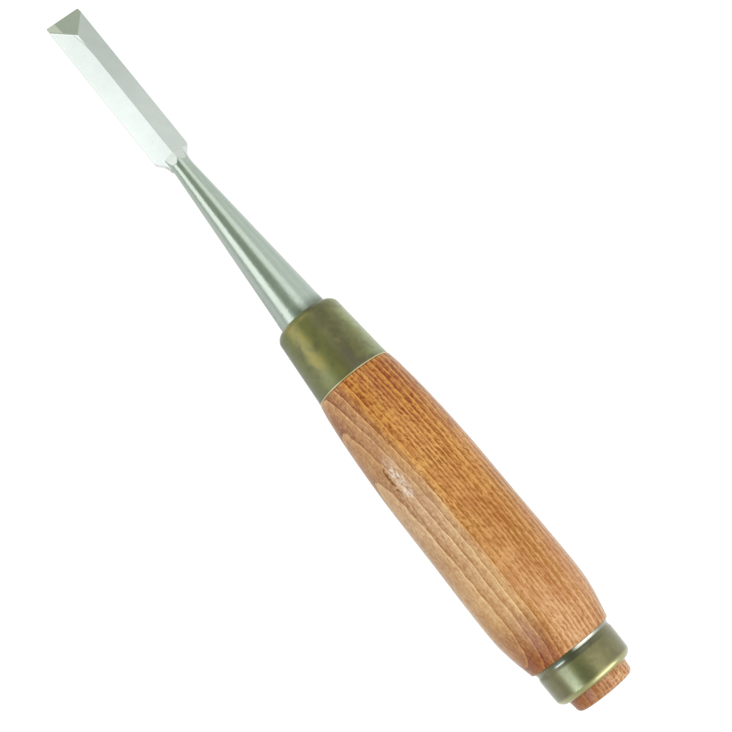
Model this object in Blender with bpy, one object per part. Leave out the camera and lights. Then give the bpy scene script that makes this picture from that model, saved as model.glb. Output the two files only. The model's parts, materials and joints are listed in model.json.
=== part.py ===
# Bench chisel with a triangular-section blade, in metres, +Z up.
#
# The tool lies on a level surface as it would on a bench: on the grip of the handle and on
# the cutting edge, ridge upwards, the blade pointing along +X. The four pieces are modelled
# about the tool's own axis (x from the butt to the cutting edge, z towards the ridge) and hang
# on one empty that tips the axis nose-down into that rest position.

import math

import bmesh
import bpy
from mathutils import Matrix, Vector

MM = 0.001
GAP = 0.3  # clearance kept between pieces that touch

# ---- driving dimensions, in millimetres; x is measured along the axis ----
OVERALL = 261.7  # cutting edge
SIDES = 40  # facets round a turned piece

# rear tenon and its stub
STUB_R = 9.95  # inside the hoop
STUB_END = -0.3  # striking face
STUB_END_R = 9.6  # the stub draws in a little towards its end
STUB_CORNER = 1.5

# striking hoop
HOOP_REAR = 3.95
HOOP_FRONT = 15.5
HOOP_REAR_R = 12.73  # it draws in a little to the rear
HOOP_REAR_ROUND = 2.3
HOOP_COVE = ((13.1, 12.83), (13.7, 12.70), (14.3, 12.53), (14.9, 12.66), (HOOP_FRONT, 12.80))  # front edge

# grip: turning stations (x, radius)
GRIP_STATIONS = (
    (15.8, 13.64),
    (18.0, 14.17),
    (24.0, 15.45),
    (29.0, 16.08),
    (34.5, 16.24),
    (60.0, 15.89),
    (78.0, 15.65),
    (90.0, 15.14),
    (100.0, 14.45),
    (106.0, 13.86),
    (110.0, 13.40),
    (113.55, 12.78),
)
GRIP_STEPS = 22
GRIP_REAR_EASE = 0.8  # eased corner at the hoop
GRIP_FRONT_EASE = 0.4  # eased corner at the ferrule

# front ferrule: a cone drawn into a cup with a full-round nose
FERRULE_REAR = 113.85
FERRULE_NOSE = 135.1  # where the cone ends and the nose begins
FERRULE_REAR_R = 12.53
FERRULE_NOSE_R = 10.83
FERRULE_NOSE_ROUND = 2.95
FERRULE_WALL = 1.1
FERRULE_RIM_EASE = 0.35

# blade forging: neck, shoulders, blade
NECK_REAR = 136.95  # bolster face, bears on the front tenon
NECK_FRONT = 197.5
NECK_HOLE_X = 138.05  # where the neck leaves the ferrule
NECK_HOLE_R = 7.8
NECK_FRONT_R = 3.28
BLADE_W = 12.0
BLADE_H = 4.6  # back to ridge
BACK_Z = -2.2  # flat back, below the axis
LAND = 1.0  # height of the thin side lands
BEVEL_DEG = 25.0
RUNOUT_X = 202.4  # where the ground facets start to run out
RUNOUT_R = 2.2
SHOULDER = (  # plan of the shoulder: x, half-width
    (199.2, 3.25),
    (200.5, 3.55),
    (201.3, 3.85),
    (202.05, 4.28),
    (202.7, 4.85),
    (203.5, 5.50),
    (204.2, 5.86),
    (204.8, BLADE_W / 2),
)

# tang: tapered square with broad chamfers, in a tapered bore
TANG_TIP = 82.0
TANG_ROOT_FLAT = 7.2
TANG_TIP_FLAT = 4.6
TANG_CHAMFER = 0.58  # half-length of each flat, as a share of half the width
BORE_END = 80.0


# ---- helpers -------------------------------------------------------------------------


def monotone(stations, x):
    """Smooth curve through the stations that never overshoots them."""
    xs = [p[0] for p in stations]
    ys = [p[1] for p in stations]
    n = len(xs)
    d = [(ys[i + 1] - ys[i]) / (xs[i + 1] - xs[i]) for i in range(n - 1)]
    m = [d[0]]
    for i in range(1, n - 1):
        if d[i - 1] * d[i] <= 0:
            m.append(0.0)
        else:
            w1 = 2 * (xs[i + 1] - xs[i]) + (xs[i] - xs[i - 1])
            w2 = (xs[i + 1] - xs[i]) + 2 * (xs[i] - xs[i - 1])
            m.append((w1 + w2) / (w1 / d[i - 1] + w2 / d[i]))
    m.append(d[-1])
    if x <= xs[0]:
        return ys[0]
    if x >= xs[-1]:
        return ys[-1]
    i = max(k for k in range(n - 1) if xs[k] <= x)
    h = xs[i + 1] - xs[i]
    t = (x - xs[i]) / h
    return (
        (2 * t**3 - 3 * t**2 + 1) * ys[i]
        + (t**3 - 2 * t**2 + t) * h * m[i]
        + (-2 * t**3 + 3 * t**2) * ys[i + 1]
        + (t**3 - t**2) * h * m[i + 1]
    )


def arc(cx, cr, radius, start, stop, steps):
    """Points (x, r) on an arc; angles in degrees, 0 along +x, 90 away from the axis."""
    pts = []
    for i in range(steps + 1):
        a = math.radians(start + (stop - start) * i / steps)
        pts.append((cx + radius * math.cos(a), cr + radius * math.sin(a)))
    return pts


def grip_radius(x):
    return monotone(GRIP_STATIONS, x)


def ferrule_radius(x):
    t = (x - FERRULE_REAR) / (FERRULE_NOSE - FERRULE_REAR)
    return FERRULE_REAR_R + (FERRULE_NOSE_R - FERRULE_REAR_R) * t


def neck_radius(x):
    slope = (NECK_FRONT_R - NECK_HOLE_R) / (NECK_FRONT - NECK_HOLE_X)
    return max(NECK_FRONT_R, NECK_HOLE_R + slope * (x - NECK_HOLE_X))


def tang_corner(flat):
    """Distance from the axis to a corner of the chamfered square."""
    return math.hypot(flat / 2, flat / 2 * TANG_CHAMFER)


def material(name, colour, metallic, roughness):
    mat = bpy.data.materials.new(name)
    mat.use_nodes = True
    bsdf = mat.node_tree.nodes["Principled BSDF"]
    bsdf.inputs["Base Color"].default_value = (*colour, 1.0)
    bsdf.inputs["Metallic"].default_value = metallic
    bsdf.inputs["Roughness"].default_value = roughness
    return mat


def make_object(name, bm, mat, parent):
    bmesh.ops.recalc_face_normals(bm, faces=bm.faces[:])
    mesh = bpy.data.meshes.new(name)
    bm.to_mesh(mesh)
    bm.free()
    mesh.shade_smooth()
    mesh.set_sharp_from_angle(angle=math.radians(28))
    mesh.materials.append(mat)
    obj = bpy.data.objects.new(name, mesh)
    bpy.context.scene.collection.objects.link(obj)
    obj.parent = parent
    return obj


def turned(name, profile, closed, mat, parent):
    """Spins a profile of (x, r) points in millimetres once round the axis."""
    bm = bmesh.new()
    half = math.pi / SIDES  # a facet faces the bench, not a corner
    verts = [bm.verts.new((x * MM, r * math.sin(half) * MM, r * math.cos(half) * MM)) for x, r in profile]
    edges = [bm.edges.new((a, b)) for a, b in zip(verts, verts[1:])]
    if closed:
        edges.append(bm.edges.new((verts[-1], verts[0])))
    bmesh.ops.spin(
        bm,
        geom=verts + edges,
        cent=(0, 0, 0),
        axis=(1, 0, 0),
        dvec=(0, 0, 0),
        angle=2 * math.pi,
        steps=SIDES,
        use_merge=False,
        use_duplicate=False,
    )
    bmesh.ops.remove_doubles(bm, verts=bm.verts[:], dist=1e-6)
    return make_object(name, bm, mat, parent)


# ---- profiles of the turned pieces ---------------------------------------------------


def handle_profile():
    pts = [(STUB_END, 0.0)]
    pts += arc(STUB_END + STUB_CORNER, STUB_END_R - STUB_CORNER, STUB_CORNER, 180, 90, 4)
    pts.append((HOOP_REAR, STUB_R))
    x0, x1 = GRIP_STATIONS[0][0], GRIP_STATIONS[-1][0]
    pts.append((x0, STUB_R))
    e = GRIP_REAR_EASE
    pts += arc(x0 + e, grip_radius(x0 + e) - e, e, 180, 100, 3)
    for i in range(1, GRIP_STEPS):
        # closer together towards both ends, where the curve turns
        t = (1 - math.cos(math.pi * i / GRIP_STEPS)) / 2
        x = x0 + e + (x1 - x0 - e) * t
        pts.append((x, grip_radius(x)))
    e = GRIP_FRONT_EASE
    pts.append((x1 - e, grip_radius(x1 - e)))
    pts.append((x1, grip_radius(x1) - e))
    # front tenon, a gap inside the ferrule
    inset = FERRULE_WALL + GAP
    pts.append((x1, ferrule_radius(x1) - inset))
    pts.append((FERRULE_NOSE, FERRULE_NOSE_R - inset))
    nose = FERRULE_NOSE_ROUND - inset
    pts += arc(FERRULE_NOSE, FERRULE_NOSE_R - FERRULE_NOSE_ROUND, nose, 65, 15, 2)
    end = NECK_REAR - GAP
    pts.append((end, FERRULE_NOSE_R - FERRULE_NOSE_ROUND))
    # bore for the tang
    pts.append((end, tang_corner(TANG_ROOT_FLAT) + GAP))
    tip = tang_corner(TANG_TIP_FLAT) + GAP
    pts.append((BORE_END, tip))
    pts.append((BORE_END - tip * math.tan(math.radians(31)), 0.0))
    return pts


def ferrule_profile():
    rear, nose = FERRULE_REAR, FERRULE_NOSE
    centre = FERRULE_NOSE_R - FERRULE_NOSE_ROUND
    hole = NECK_HOLE_R + GAP
    rise = hole - centre
    e = FERRULE_RIM_EASE
    outer_stop = math.degrees(math.asin(rise / FERRULE_NOSE_ROUND))
    inner_round = FERRULE_NOSE_ROUND - FERRULE_WALL
    inner_stop = math.degrees(math.asin(rise / inner_round))
    pts = arc(rear + e, ferrule_radius(rear) - e, e, 180, 90, 2)
    pts += arc(nose, centre, FERRULE_NOSE_ROUND, 86, outer_stop, 6)
    pts += arc(nose, centre, inner_round, inner_stop, 86, 4)
    pts.append((rear, ferrule_radius(rear) - FERRULE_WALL))
    return pts


def hoop_profile():
    bore = STUB_R + GAP
    r = HOOP_REAR_ROUND
    pts = [(HOOP_REAR, bore)]
    pts += arc(HOOP_REAR + r, HOOP_REAR_R - r, r, 180, 90, 6)
    pts += HOOP_COVE
    pts.append((HOOP_FRONT, bore))
    return pts


# ---- the blade forging ---------------------------------------------------------------

RIDGE_Z = BACK_Z + BLADE_H
FACET_SLOPE = (BLADE_H - LAND) / (BLADE_W / 2)  # fall of a side facet per unit of width


def plan_half_width(x):
    """Half-width of the blade in plan; it dwindles inside the neck."""
    if x < SHOULDER[0][0]:
        return max(0.05, SHOULDER[0][1] - 3.0 * (SHOULDER[0][0] - x))
    return monotone(SHOULDER, x)


def runout(x):
    """How far the grinding has risen out of the steel at x."""
    back = RUNOUT_X - x
    if back <= 0:
        return 0.0
    if back >= RUNOUT_R:
        return RUNOUT_R + 10 * (back - RUNOUT_R)
    return RUNOUT_R - math.sqrt(RUNOUT_R**2 - back**2)


def within(angle, half_width, rise):
    """Distance from the axis to the ground faces in one direction of the section."""
    y, z = abs(math.cos(angle)), math.sin(angle)
    reach = 1e3
    if y > 1e-9:
        reach = min(reach, half_width / y)
    top = z + FACET_SLOPE * y
    if top > 1e-9:
        reach = min(reach, (RIDGE_Z + rise * math.hypot(1, FACET_SLOPE)) / top)
    if z < -1e-9:
        reach = min(reach, (BACK_Z - rise) / z)
    return reach


def section(x, facet_steps=7, land_steps=3, back_steps=5):
    """Section of the forging at x: points (y, z), ridge first, going round by -y."""
    w = plan_half_width(x)
    key = max(w, NECK_FRONT_R)
    top = math.atan2(RIDGE_Z - FACET_SLOPE * key, key)
    low = math.atan2(BACK_Z, key)
    stops = [(math.pi / 2, top, facet_steps), (top, low, land_steps), (low, -math.pi / 2, back_steps)]
    angles = []
    for a, b, n in stops:
        angles += [a + (b - a) * i / n for i in range(n)]
    rise = runout(x)
    half = []
    for a in angles + [-math.pi / 2]:
        ground_neck = min(neck_radius(x), within(a, 1e3, rise))
        reach = max(ground_neck, within(a, w, 0.0))
        half.append((reach * math.cos(a), reach * math.sin(a)))
    right = [(-y, z) for y, z in half]
    left = [(y, z) for y, z in reversed(half[1:-1])]
    return right + left


def blade_sections():
    xs = [NECK_REAR, 152.0, 168.0, 184.0, 194.0, NECK_FRONT]
    x = 198.6
    while x < 205.0:
        xs.append(x)
        x += 0.4
    xs += [SHOULDER[-1][0] + 0.6, 224.0, 243.0, OVERALL + 1.5]
    return sorted(xs)


def add_tang(bm):
    """Tapered square tang with chamfered corners, rooted inside the neck."""
    rings = []
    for x, flat in (
        (NECK_REAR + 3.0, TANG_ROOT_FLAT),
        (NECK_REAR, TANG_ROOT_FLAT),
        (TANG_TIP + 4.0, TANG_TIP_FLAT + (TANG_ROOT_FLAT - TANG_TIP_FLAT) * 0.07),
        (TANG_TIP, TANG_TIP_FLAT * 0.6),
    ):
        h, c = flat / 2, flat / 2 * TANG_CHAMFER
        corners = [(h, -c), (h, c), (c, h), (-c, h), (-h, c), (-h, -c), (-c, -h), (c, -h)]
        rings.append([bm.verts.new((x * MM, y * MM, z * MM)) for y, z in corners])
    for a, b in zip(rings, rings[1:]):
        for i in range(8):
            j = (i + 1) % 8
            bm.faces.new((a[i], a[j], b[j], b[i]))
    bm.faces.new(rings[0])
    bm.faces.new(rings[-1])


def build_blade(mat, parent):
    bm = bmesh.new()
    rings = []
    for x in blade_sections():
        rings.append([bm.verts.new((x * MM, y * MM, z * MM)) for y, z in section(x)])
    n = len(rings[0])
    for a, b in zip(rings, rings[1:]):
        for i in range(n):
            j = (i + 1) % n
            bm.faces.new((a[i], a[j], b[j], b[i]))
    bm.faces.new(rings[0])
    bm.faces.new(rings[-1])
    bmesh.ops.recalc_face_normals(bm, faces=bm.faces[:])
    # the cutting bevel, ground from the ridge down to the back
    bevel = math.radians(BEVEL_DEG)
    bmesh.ops.bisect_plane(
        bm,
        geom=bm.verts[:] + bm.edges[:] + bm.faces[:],
        dist=1e-7,
        plane_co=Vector((OVERALL * MM, 0, BACK_Z * MM)),
        plane_no=Vector((math.sin(bevel), 0, math.cos(bevel))),
        clear_outer=True,
    )
    open_edges = [e for e in bm.edges if e.is_boundary]
    bmesh.ops.edgeloop_fill(bm, edges=open_edges)
    bmesh.ops.dissolve_degenerate(bm, dist=1e-7, edges=bm.edges[:])
    obj = make_object("blade", bm, mat, parent)

    # the tang is one with the forging
    tang = bmesh.new()
    add_tang(tang)
    root = make_object("tang_root", tang, mat, parent)
    root.hide_render = True
    root.display_type = "WIRE"
    join = obj.modifiers.new("tang", "BOOLEAN")
    join.operation = "UNION"
    join.solver = "EXACT"
    join.object = root
    return obj


# ---- assembly ------------------------------------------------------------------------


def rest_tilt():
    """Nose-down angle of the axis when the grip and the cutting edge both touch the bench."""
    x0, x1 = GRIP_STATIONS[0][0], GRIP_STATIONS[-1][0]
    best = 0.0
    for i in range(401):
        x = x0 + (x1 - x0) * i / 400
        flat = grip_radius(x) * math.cos(math.pi / SIDES)
        best = max(best, (flat + BACK_Z) / (OVERALL - x))
    return math.atan(best)


def build():
    for obj in list(bpy.data.objects):
        bpy.data.objects.remove(obj, do_unlink=True)

    steel = material("steel", (0.60, 0.64, 0.60), 1.0, 0.26)
    brass = material("brass", (0.26, 0.23, 0.09), 1.0, 0.36)
    beech = material("stained_beech", (0.47, 0.19, 0.06), 0.0, 0.45)

    axis = bpy.data.objects.new("tool_axis", None)
    bpy.context.scene.collection.objects.link(axis)

    pieces = [
        build_blade(steel, axis),
        turned("front_ferrule", ferrule_profile(), True, brass, axis),
        turned("handle", handle_profile(), False, beech, axis),
        turned("rear_hoop", hoop_profile(), True, brass, axis),
    ]

    # tip the axis into the rest position and set the box's bottom centre on the origin
    turn = Matrix.Rotation(rest_tilt(), 3, "Y")
    low = Vector((1e9, 1e9, 1e9))
    high = -low
    for obj in pieces:
        for v in obj.data.vertices:
            p = turn @ v.co
            low = Vector(map(min, low, p))
            high = Vector(map(max, high, p))
    axis.rotation_euler = (0.0, rest_tilt(), 0.0)
    axis.location = (-(low.x + high.x) / 2, -(low.y + high.y) / 2, -low.z)


build()
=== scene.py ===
# Looks of a bench chisel: satin steel blade and neck, darkened brass ferrule and hoop, and a
# stained, clear-lacquered beech handle, on a plain pale floor under soft studio light.
#
# The pieces are modelled in millimetres about the tool's own axis (x from the butt to the cutting
# edge, +y to the tool's left, +z towards the blade's ridge) and then set into the rest position.

import json
import math

import bmesh
import bpy
import numpy as np
from mathutils import Matrix, Vector

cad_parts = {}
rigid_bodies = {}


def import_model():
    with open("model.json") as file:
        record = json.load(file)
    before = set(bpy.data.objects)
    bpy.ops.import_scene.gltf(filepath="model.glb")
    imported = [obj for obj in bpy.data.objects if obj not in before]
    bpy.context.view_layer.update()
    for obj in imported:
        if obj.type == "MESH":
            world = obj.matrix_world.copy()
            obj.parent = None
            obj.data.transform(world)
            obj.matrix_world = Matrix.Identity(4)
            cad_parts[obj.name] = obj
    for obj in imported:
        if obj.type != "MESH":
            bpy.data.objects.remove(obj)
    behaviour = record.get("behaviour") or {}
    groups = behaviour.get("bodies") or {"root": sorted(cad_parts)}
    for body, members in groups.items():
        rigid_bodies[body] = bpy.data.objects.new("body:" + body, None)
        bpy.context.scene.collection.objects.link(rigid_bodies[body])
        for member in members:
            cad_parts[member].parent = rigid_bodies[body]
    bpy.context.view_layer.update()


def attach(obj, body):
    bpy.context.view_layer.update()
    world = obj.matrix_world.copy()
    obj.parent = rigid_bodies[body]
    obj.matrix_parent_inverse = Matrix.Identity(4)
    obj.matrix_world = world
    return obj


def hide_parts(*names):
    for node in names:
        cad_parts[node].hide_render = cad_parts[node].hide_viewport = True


for old in list(bpy.data.objects):
    bpy.data.objects.remove(old, do_unlink=True)

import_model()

MM = 0.001
TILT = math.radians(4.319908)  # nose-down, resting on the grip and on the cutting edge
AXIS_START = Vector((-0.1299417, 0.0, 0.0219064))  # where x is 0 on the axis
REST = Matrix.Translation(AXIS_START) @ Matrix.Rotation(TILT, 4, "Y")

# ---------------------------------------------------------------------------------------
# dimensions, in millimetres, the same as the solids' except for the facets' run-out at the shoulder
# ---------------------------------------------------------------------------------------

OVERALL = 261.7
STUB_R, STUB_END, STUB_END_R, STUB_CORNER = 9.95, -0.3, 9.6, 1.5
HOOP_REAR, HOOP_FRONT, HOOP_R, HOOP_REAR_R, HOOP_REAR_ROUND = 3.95, 15.5, 12.83, 12.73, 2.3
COVE_REAR, COVE_LOW, COVE_R, HOOP_LIP_R = 13.1, 14.3, 12.53, 12.82
GRIP = (
    (15.8, 13.64),
    (18.0, 14.17),
    (24.0, 15.45),
    (29.0, 16.08),
    (34.5, 16.24),
    (60.0, 15.89),
    (78.0, 15.65),
    (90.0, 15.14),
    (100.0, 14.45),
    (106.0, 13.86),
    (110.0, 13.40),
    (113.55, 12.78),
)
FERRULE_REAR, FERRULE_NOSE = 113.82, 135.1
FERRULE_REAR_R, FERRULE_NOSE_R = 12.53, 10.83
FERRULE_NOSE_ROUND, FERRULE_WALL = 2.95, 1.1
NECK_REAR, NECK_FRONT = 136.95, 197.5
NECK_HOLE_X, NECK_HOLE_R, NECK_FRONT_R = 138.05, 7.80, 3.28
BLADE_W, BLADE_H, BACK_Z, LAND = 12.0, 4.6, -2.2, 1.0
BEVEL = math.radians(25.0)
RUNOUT_X, RUNOUT_R, RUNOUT_TILT = 203.58, 1.5, math.radians(16.0)
SHOULDER = (
    (199.2, 3.25),
    (200.5, 3.55),
    (201.3, 3.85),
    (202.05, 4.28),
    (202.7, 4.85),
    (203.5, 5.50),
    (204.2, 5.86),
    (204.8, BLADE_W / 2),
)
TANG_TIP, TANG_ROOT_FLAT, TANG_TIP_FLAT, TANG_CHAMFER = 82.0, 7.2, 4.6, 0.58
BORE_END, GAP = 80.0, 0.3
RIDGE_Z = BACK_Z + BLADE_H
FACET_SLOPE = (BLADE_H - LAND) / (BLADE_W / 2)


# ---------------------------------------------------------------------------------------
# shape helpers
# ---------------------------------------------------------------------------------------


def monotone(stations, x):
    """Smooth curve through the stations that never overshoots them."""
    xs = [p[0] for p in stations]
    ys = [p[1] for p in stations]
    n = len(xs)
    d = [(ys[i + 1] - ys[i]) / (xs[i + 1] - xs[i]) for i in range(n - 1)]
    m = [d[0]]
    for i in range(1, n - 1):
        if d[i - 1] * d[i] <= 0:
            m.append(0.0)
        else:
            w1 = 2 * (xs[i + 1] - xs[i]) + (xs[i] - xs[i - 1])
            w2 = (xs[i + 1] - xs[i]) + 2 * (xs[i] - xs[i - 1])
            m.append((w1 + w2) / (w1 / d[i - 1] + w2 / d[i]))
    m.append(d[-1])
    if x <= xs[0]:
        return ys[0]
    if x >= xs[-1]:
        return ys[-1]
    i = max(k for k in range(n - 1) if xs[k] <= x)
    h = xs[i + 1] - xs[i]
    t = (x - xs[i]) / h
    return (
        (2 * t**3 - 3 * t**2 + 1) * ys[i]
        + (t**3 - 2 * t**2 + t) * h * m[i]
        + (-2 * t**3 + 3 * t**2) * ys[i + 1]
        + (t**3 - t**2) * h * m[i + 1]
    )


def arc(cx, cr, radius, start, stop, steps):
    """Points (x, r) on an arc; angles in degrees, 0 along +x, 90 away from the axis."""
    out = []
    for i in range(steps + 1):
        a = math.radians(start + (stop - start) * i / steps)
        out.append((cx + radius * math.cos(a), cr + radius * math.sin(a)))
    return out


def smoothstep(a, b, x):
    t = min(1.0, max(0.0, (x - a) / (b - a)))
    return t * t * (3 - 2 * t)


def finish_piece(name, mesh, mat, node, sharp):
    """Puts a mesh made in metres about the tool's axis into the rest position for a CAD node."""
    mesh.transform(REST)
    mesh.validate()
    mesh.shade_smooth()
    mesh.set_sharp_from_angle(angle=math.radians(sharp))
    mesh.materials.append(mat)
    obj = bpy.data.objects.new(name, mesh)
    bpy.context.scene.collection.objects.link(obj)
    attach(obj, "root")
    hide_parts(node)
    return obj


def lathe(name, profile, closed, sides):
    """Mesh of a profile of (x, r) points in millimetres turned once round the axis."""
    verts, rings = [], []
    for x, r in profile:
        if r < 1e-6:
            rings.append([len(verts)] * sides)
            verts.append((x * MM, 0.0, 0.0))
            continue
        ring = []
        for k in range(sides):
            a = 2 * math.pi * k / sides
            ring.append(len(verts))
            verts.append((x * MM, r * math.sin(a) * MM, r * math.cos(a) * MM))
        rings.append(ring)
    pairs = list(zip(rings, rings[1:]))
    if closed:
        pairs.append((rings[-1], rings[0]))
    faces = []
    for a, b in pairs:
        for k in range(sides):
            j = (k + 1) % sides
            face = []
            for v in (a[k], a[j], b[j], b[k]):
                if v not in face:
                    face.append(v)
            if len(face) > 2:
                faces.append(face)
    mesh = bpy.data.meshes.new(name)
    mesh.from_pydata(verts, [], faces)
    bm = bmesh.new()
    bm.from_mesh(mesh)
    bmesh.ops.recalc_face_normals(bm, faces=bm.faces[:])
    bm.to_mesh(mesh)
    bm.free()
    return mesh


# ---------------------------------------------------------------------------------------
# the turned pieces
# ---------------------------------------------------------------------------------------


def grip_radius(x):
    return monotone(GRIP, x)


def ferrule_radius(x):
    t = (x - FERRULE_REAR) / (FERRULE_NOSE - FERRULE_REAR)
    return FERRULE_REAR_R + (FERRULE_NOSE_R - FERRULE_REAR_R) * t


def tang_corner(flat):
    return math.hypot(flat / 2, flat / 2 * TANG_CHAMFER)


def handle_profile():
    pts = [(STUB_END, 0.0), (STUB_END, 2.5), (STUB_END, 5.0)]
    corner = STUB_END + STUB_CORNER
    pts += arc(corner, STUB_END_R - STUB_CORNER, STUB_CORNER, 180, 90, 10)
    for i in range(1, 6):
        t = i / 5
        pts.append((corner + (HOOP_REAR - corner) * t, STUB_END_R + (STUB_R - STUB_END_R) * t))
    x0, x1 = HOOP_FRONT + 0.04, FERRULE_REAR - 0.06
    pts += [(9.0, STUB_R), (x0, STUB_R)]
    e = 0.6
    pts += arc(x0 + e, grip_radius(x0 + e) - e, e, 180, 104, 8)
    steps = 150
    for i in range(1, steps):
        x = x0 + e + (x1 - x0 - e - 0.3) * i / steps
        pts.append((x, grip_radius(x)))
    e = 0.3
    pts += arc(x1 - e, grip_radius(x1 - e) - e, e, 76, 0, 5)
    inset = FERRULE_WALL + GAP
    pts.append((x1, ferrule_radius(x1) - inset))
    pts.append((FERRULE_NOSE, FERRULE_NOSE_R - inset))
    nose = FERRULE_NOSE_ROUND - inset
    pts += arc(FERRULE_NOSE, FERRULE_NOSE_R - FERRULE_NOSE_ROUND, nose, 65, 15, 4)
    end = NECK_REAR - GAP
    pts.append((end, FERRULE_NOSE_R - FERRULE_NOSE_ROUND))
    pts.append((end, tang_corner(TANG_ROOT_FLAT) + GAP))
    tip = tang_corner(TANG_TIP_FLAT) + GAP
    pts.append((BORE_END, tip))
    pts.append((BORE_END - tip * math.tan(math.radians(31)), 0.0))
    return pts


def ferrule_profile():
    rear, nose = FERRULE_REAR, FERRULE_NOSE
    centre = FERRULE_NOSE_R - FERRULE_NOSE_ROUND
    hole = NECK_HOLE_R + 0.16
    rise = hole - centre
    outer_stop = math.degrees(math.asin(rise / FERRULE_NOSE_ROUND))
    inner_round = FERRULE_NOSE_ROUND - FERRULE_WALL
    inner_stop = math.degrees(math.asin(rise / inner_round))
    # the rim is burnished to a faint bead
    bead = 0.07
    e = 0.3
    pts = arc(rear + e, ferrule_radius(rear) + bead - e, e, 180, 90, 6)
    for i in range(1, 9):
        x = rear + e + 2.2 * i / 8
        pts.append((x, ferrule_radius(x) + bead * (1 - smoothstep(rear + 0.5, rear + 2.3, x))))
    for i in range(1, 12):
        x = rear + e + 2.2 + (nose - rear - e - 2.2) * i / 12
        pts.append((x, ferrule_radius(x)))
    lean = math.degrees(math.atan((FERRULE_REAR_R - FERRULE_NOSE_R) / (nose - rear)))
    pts += arc(nose, centre, FERRULE_NOSE_ROUND, 90 - lean, outer_stop, 22)
    pts += arc(nose, centre, inner_round, inner_stop, 88, 10)
    pts.append((rear, ferrule_radius(rear) - FERRULE_WALL))
    return pts


def hoop_profile():
    bore = STUB_R + 0.12
    r = HOOP_REAR_ROUND
    pts = [(HOOP_REAR, bore), (HOOP_REAR, (bore + HOOP_REAR_R - r) / 2)]
    pts += arc(HOOP_REAR + r, HOOP_REAR_R - r, r, 180, 88, 18)
    x0, x1 = HOOP_REAR + r, COVE_REAR - 0.1
    for i in range(1, 12):
        t = i / 12
        pts.append((x0 + (x1 - x0) * t, HOOP_REAR_R + (HOOP_R - HOOP_REAR_R) * (1 - (1 - t) ** 2)))
    # a shallow cove and a rolled lip against the wood
    for i in range(13):
        t = i / 12
        pts.append((x1 + (COVE_LOW - x1) * t, HOOP_R + (COVE_R - HOOP_R) * smoothstep(0, 1, t)))
    e = 0.12
    for i in range(1, 11):
        t = i / 10
        pts.append((COVE_LOW + (HOOP_FRONT - e - COVE_LOW) * t, COVE_R + (HOOP_LIP_R - COVE_R) * t**1.5))
    pts += arc(HOOP_FRONT - e, HOOP_LIP_R - e, e, 75, 0, 3)
    pts.append((HOOP_FRONT, bore))
    return pts


# ---------------------------------------------------------------------------------------
# the blade forging
# ---------------------------------------------------------------------------------------


def neck_radius(x):
    slope = (NECK_FRONT_R - NECK_HOLE_R) / (NECK_FRONT - NECK_HOLE_X)
    r = max(NECK_FRONT_R, NECK_HOLE_R + slope * (x - NECK_HOLE_X))
    # the polishing stops just short of the ferrule and leaves a faint collar
    return r + 0.05 * (1 - smoothstep(141.0, 142.0, x))


def plan_half_width(x):
    if x < SHOULDER[0][0]:
        return max(0.05, SHOULDER[0][1] - 3.0 * (SHOULDER[0][0] - x))
    return monotone(SHOULDER, x)


def runout(x):
    back = RUNOUT_X - x
    if back <= 0:
        return 0.0
    turn = RUNOUT_R * math.sin(RUNOUT_TILT)
    if back <= turn:
        return RUNOUT_R - math.sqrt(RUNOUT_R**2 - back**2)
    return RUNOUT_R * (1 - math.cos(RUNOUT_TILT)) + (back - turn) * math.tan(RUNOUT_TILT)


def soft_max(a, b, k):
    h = max(k - abs(a - b), 0.0) / k
    return max(a, b) + h * h * k / 4


def within(angle, half_width, rise):
    """Distance from the axis to the ground faces, with slightly broken arrises."""
    y, z = math.cos(angle), math.sin(angle)
    top = RIDGE_Z + rise * math.hypot(1, FACET_SLOPE)
    inv = soft_max((z + FACET_SLOPE * y) / top, (z - FACET_SLOPE * y) / top, 0.016)
    inv = soft_max(inv, abs(y) / half_width, 0.0030)
    inv = soft_max(inv, -z / (rise - BACK_Z), 0.0028)
    return 1.0 / max(inv, 1e-4)


def eased(n):
    """n steps from 0 to 1, closer together at both ends."""
    return [(1 - math.cos(math.pi * i / n)) / 2 for i in range(n)]


def section(x):
    """Section of the forging at x: points (y, z), ridge first, going round by -y."""
    w = plan_half_width(x)
    key = max(w, NECK_FRONT_R)
    top = math.atan2(RIDGE_Z - FACET_SLOPE * key, key)
    low = math.atan2(BACK_Z, key)
    angles = [math.pi / 2 + (top - math.pi / 2) * t for t in eased(26)]
    angles += [top + (low - top) * t for t in eased(8)]
    angles += [low + (-math.pi / 2 - low) * (i / 14) ** 1.5 for i in range(14)]
    rise = runout(x)
    half = []
    for a in angles + [-math.pi / 2]:
        ground_neck = min(neck_radius(x), within(a, 1e3, rise))
        reach = max(ground_neck, within(a, w, 0.0))
        half.append((reach * math.cos(a), reach * math.sin(a)))
    right = [(-y, z) for y, z in half]
    left = [(y, z) for y, z in reversed(half[1:-1])]
    return right + left


def blade_stations():
    xs = [NECK_REAR, NECK_REAR + 0.5, 138.6, 139.6, 140.5]
    xs += [141.0 + 0.125 * i for i in range(9)]
    xs += [143.2 + 2.7 * i for i in range(20)]
    x = 197.5
    while x < 205.4:
        xs.append(x)
        x += 0.12
    xs += [207.0 + 3.2 * i for i in range(15)]
    xs += [OVERALL - 1.0, OVERALL + 1.5]
    return sorted(set(round(v, 4) for v in xs))


def slice_off(bm, point, normal):
    """Cuts away what lies beyond a plane and closes the cut."""
    bmesh.ops.bisect_plane(
        bm,
        geom=bm.verts[:] + bm.edges[:] + bm.faces[:],
        dist=1e-8,
        plane_co=Vector(point) * MM,
        plane_no=Vector(normal).normalized(),
        clear_outer=True,
    )
    edges = [e for e in bm.edges if e.is_boundary]
    if edges:
        bmesh.ops.edgeloop_fill(bm, edges=edges)


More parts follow.
